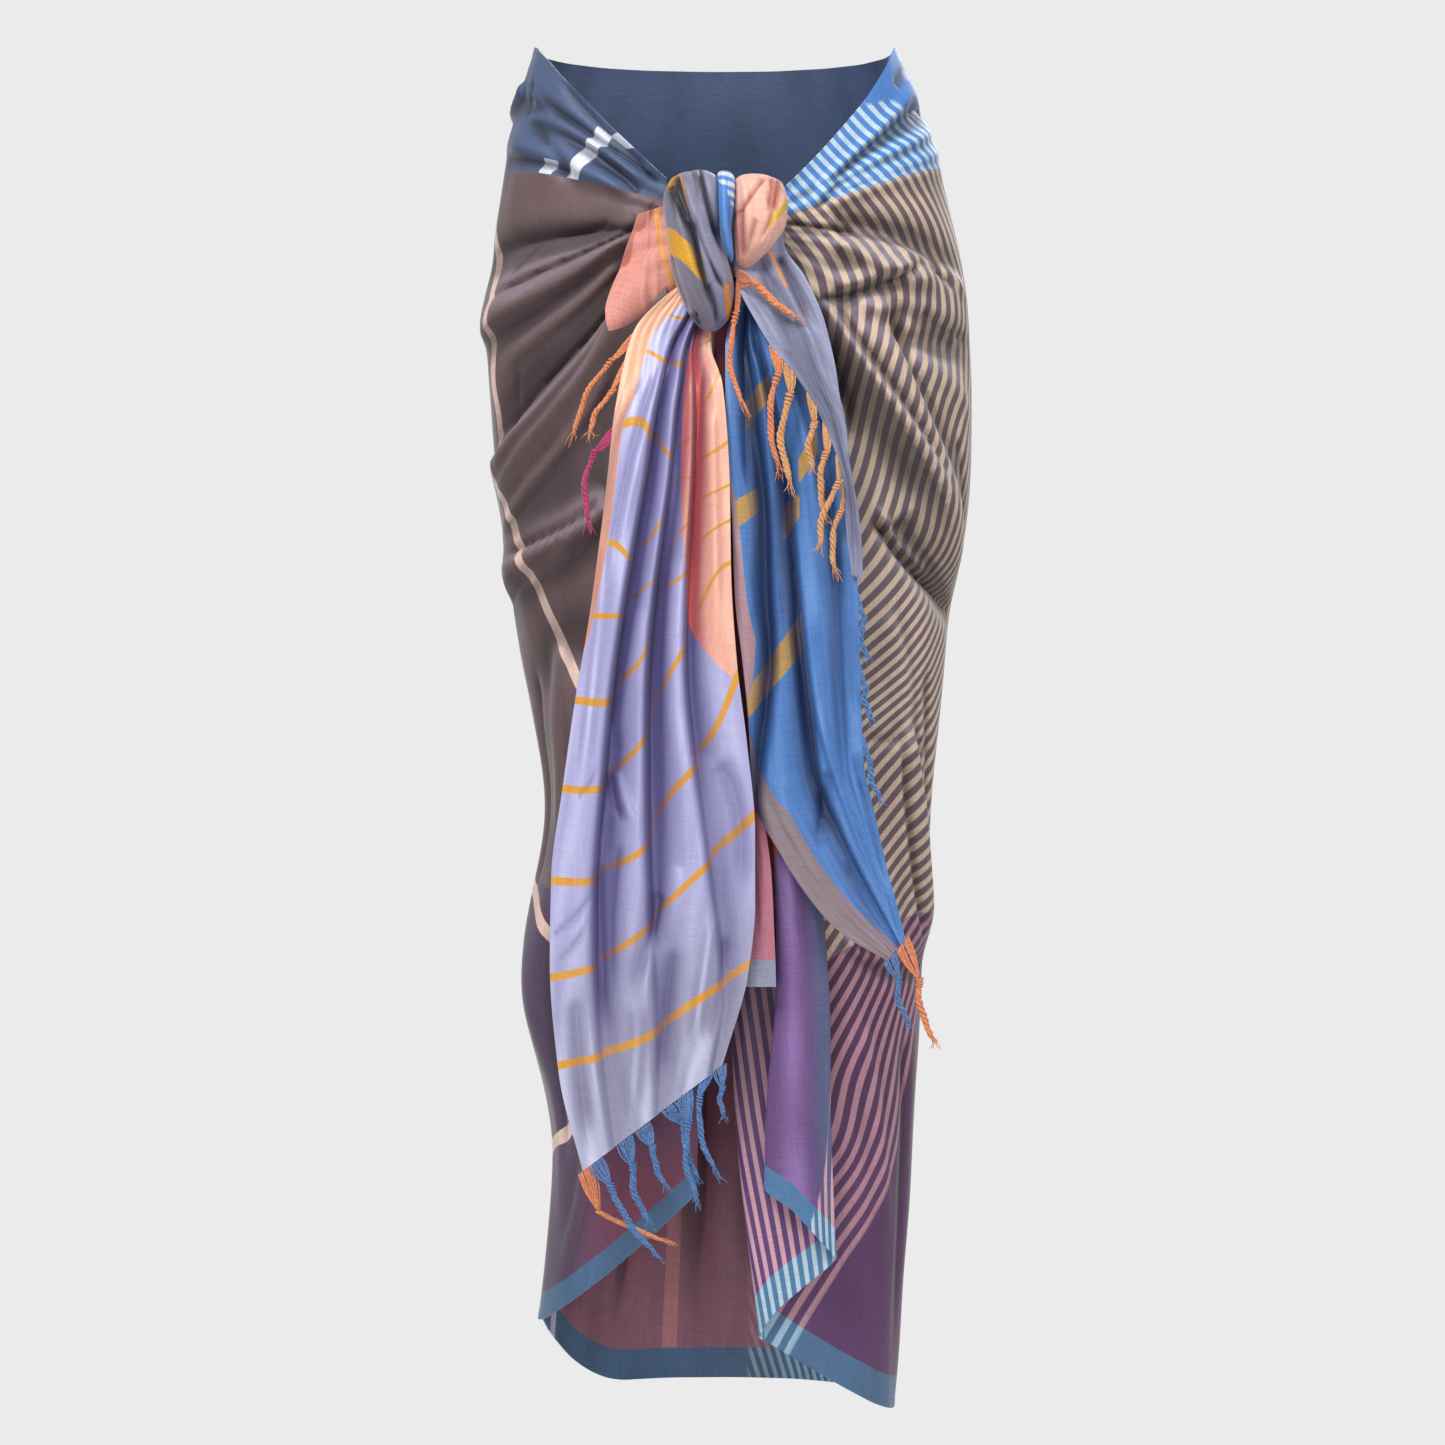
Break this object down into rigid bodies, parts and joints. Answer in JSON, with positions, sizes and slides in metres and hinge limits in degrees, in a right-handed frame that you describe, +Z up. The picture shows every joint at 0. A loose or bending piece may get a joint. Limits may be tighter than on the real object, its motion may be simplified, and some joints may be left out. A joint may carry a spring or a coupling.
{
  "type": "tied sarong wrap",
  "caption": "Striped handwoven sarong cloth worn round the hips, tied in a front knot with long hanging ends and tassels.",
  "frame": {"origin": "the middle of the waist, on the level where the cloth is held round the figure", "axes": "+Z up, +X to the right as seen from the front, which faces -Y"},
  "size_m": [0.3663, 0.3221, 1.0155],
  "materials": {
    "cloth_slate": "matt, fine weave",
    "cloth_blue": "matt, fine weave",
    "cloth_mauve": "matt, fine weave",
    "cloth_plum": "matt, fine weave",
    "cloth_grey": "matt, fine weave",
    "cloth_lavender": "silky, fine weave",
    "cloth_salmon": "matt, fine weave",
    "cloth_pink": "matt, fine weave",
    "threads_blue": "twisted threads",
    "threads_orange": "twisted threads"
  },
  "bodies": {
    "root": {"waist_left": "cloth_slate", "waist_right": "cloth_blue", "waist_back": "cloth_slate", "front_left": "cloth_mauve", "front_right": "cloth_mauve", "skirt_back": "cloth_plum", "front_pleat": "cloth_plum", "knot_core": "cloth_grey", "knot_loop": "cloth_grey", "knot_sliver": "cloth_blue", "knot_lobe": "cloth_salmon", "tail_left": "cloth_lavender", "tail_right": "cloth_blue", "inner_end": "cloth_pink", "flap_grey": "cloth_grey", "flap_salmon": "cloth_salmon", "fringe_left_foot": "threads_blue", "fringe_left_side": "threads_orange", "fringe_right_foot": "threads_orange", "fringe_right_side": "threads_blue", "fringe_knot": "threads_orange", "fringe_flap": "threads_orange"}
  },
  "joints": []
}
